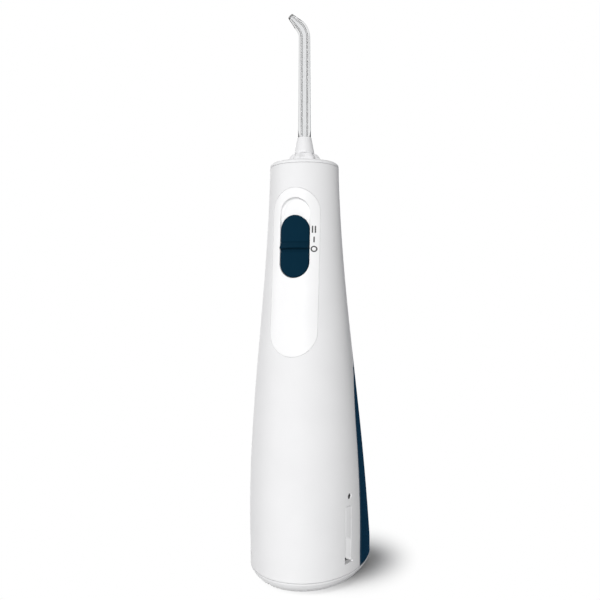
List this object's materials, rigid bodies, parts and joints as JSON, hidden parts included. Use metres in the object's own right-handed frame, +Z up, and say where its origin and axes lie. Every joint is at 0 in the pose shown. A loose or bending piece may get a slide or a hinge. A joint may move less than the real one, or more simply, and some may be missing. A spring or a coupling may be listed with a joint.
{
  "type": "water flosser",
  "caption": "Slim cordless water flosser: flared white handle, clip-on navy water tank with fill door, sliding power switch, side release tabs, turning knob and bent pull-out jet tip.",
  "frame": {"origin": "under the middle of the flosser's box, on the surface it stands on", "axes": "+Z up along the handle, the control panel faces -Y, the water tank is on the +Y side, +X is on the right of someone who faces the control panel, on the side of the three switch marks"},
  "size_m": [0.0616, 0.0688, 0.2884],
  "materials": {
    "shell": "smooth satin white moulding",
    "panel": "smooth white moulding, a little glossier than the shell",
    "navy": "dark navy translucent moulding, satin",
    "tip": "clear moulding, slightly frosted",
    "inner": "light grey moulding",
    "seal": "soft black rubber",
    "steel": "plain bright steel",
    "brass": "plain brass",
    "cell": "wrapped dry cell",
    "board": "green circuit board",
    "hose": "pale soft hose"
  },
  "bodies": {
    "handle": {"front_shell": "shell", "rear_shell": "shell", "top_cap": "shell", "base_plate": "shell", "control_panel": "panel", "case_screw_1": "steel", "case_screw_2": "steel", "case_screw_3": "steel", "case_screw_4": "steel", "door_hinge_pin": "steel", "cell_tube": "inner", "top_contact": "brass", "dry_cell_1": "cell", "dry_cell_2": "cell", "dry_cell_3": "cell", "port_socket": "inner", "port_seal": "seal", "motor_mount": "inner", "motor": "steel", "gear_plate": "inner", "gear_axle": "steel", "pump_body": "inner", "inlet_valve": "brass", "outlet_valve": "brass", "suction_hose": "hose", "pressure_hose": "hose", "control_board": "board", "hall_sensor_1": "seal", "hall_sensor_2": "seal", "tip_socket": "inner"},
    "battery_door": {"battery_door": "shell", "door_seal": "seal", "door_contact": "steel", "cell_spring_1": "steel", "cell_spring_2": "steel", "cell_spring_3": "steel"},
    "tank": {"tank": "navy", "outlet_pipe": "inner", "intake_tube": "hose", "intake_filter": "steel", "fill_door_pin": "steel"},
    "fill_door": {"fill_door": "navy", "fill_seal": "seal"},
    "power_slider": {"power_slider": "navy", "slider_magnet": "steel"},
    "release_tab_left": {"release_tab_left": "shell"},
    "release_tab_right": {"release_tab_right": "shell"},
    "rotor": {"motor_shaft": "steel", "pinion": "brass"},
    "drive_gear": {"drive_gear": "inner"},
    "plunger": {"plunger": "inner"},
    "tip_knob": {"tip_knob": "shell"},
    "jet_tip": {"tip_plug": "shell", "tip_seal": "seal", "tip_collar": "shell", "jet_tube": "tip"}
  },
  "joints": [
    {"name": "slider_travel", "type": "slide", "parent": "handle", "child": "power_slider", "axis": [0, 0.0703, 0.9975], "range_m": [0, 0.0084]},
    {"name": "knob_turn", "type": "hinge", "parent": "handle", "child": "tip_knob", "pos_m": [0, -0.00485, 0.2118], "axis": [0, 0, 1], "continuous": true},
    {"name": "tip_pull", "type": "slide", "parent": "tip_knob", "child": "jet_tip", "axis": [0, 0, 1], "range_m": [0, 0.028]},
    {"name": "tank_pull", "type": "slide", "parent": "handle", "child": "tank", "axis": [0, 1, 0], "range_m": [0, 0.045]},
    {"name": "fill_door_hinge", "type": "hinge", "parent": "tank", "child": "fill_door", "pos_m": [0, 0.02314, 0.1168], "axis": [1, 0, 0], "range_deg": [0, 90]},
    {"name": "battery_door_hinge", "type": "hinge", "parent": "handle", "child": "battery_door", "pos_m": [0, 0.01005, 0.0016], "axis": [1, 0, 0], "range_deg": [0, 95]},
    {"name": "release_tab_right_press", "type": "hinge", "parent": "handle", "child": "release_tab_right", "pos_m": [0.0252, -0.01645, 0.0387], "axis": [0, 1, 0], "range_deg": [0, 5], "stiffness_Nm_per_rad": 0.23},
    {"name": "release_tab_left_press", "type": "hinge", "parent": "handle", "child": "release_tab_left", "pos_m": [-0.0252, -0.01645, 0.0387], "axis": [0, -1, 0], "range_deg": [0, 5], "stiffness_Nm_per_rad": 0.23},
    {"name": "gear_spin", "type": "hinge", "parent": "handle", "child": "drive_gear", "pos_m": [0.00555, -0.01535, 0.0966], "axis": [0, 0, 1], "continuous": true},
    {"name": "rotor_spin", "type": "hinge", "parent": "handle", "child": "rotor", "pos_m": [-0.0054, -0.01535, 0.0966], "axis": [0, 0, 1], "continuous": true},
    {"name": "plunger_stroke", "type": "slide", "parent": "handle", "child": "plunger", "axis": [-1, 0, 0], "range_m": [0, 0.0032]}
  ],
  "couplings": [
    {"joint": "rotor_spin", "follows": "gear_spin", "ratio": -2.6}
  ]
}
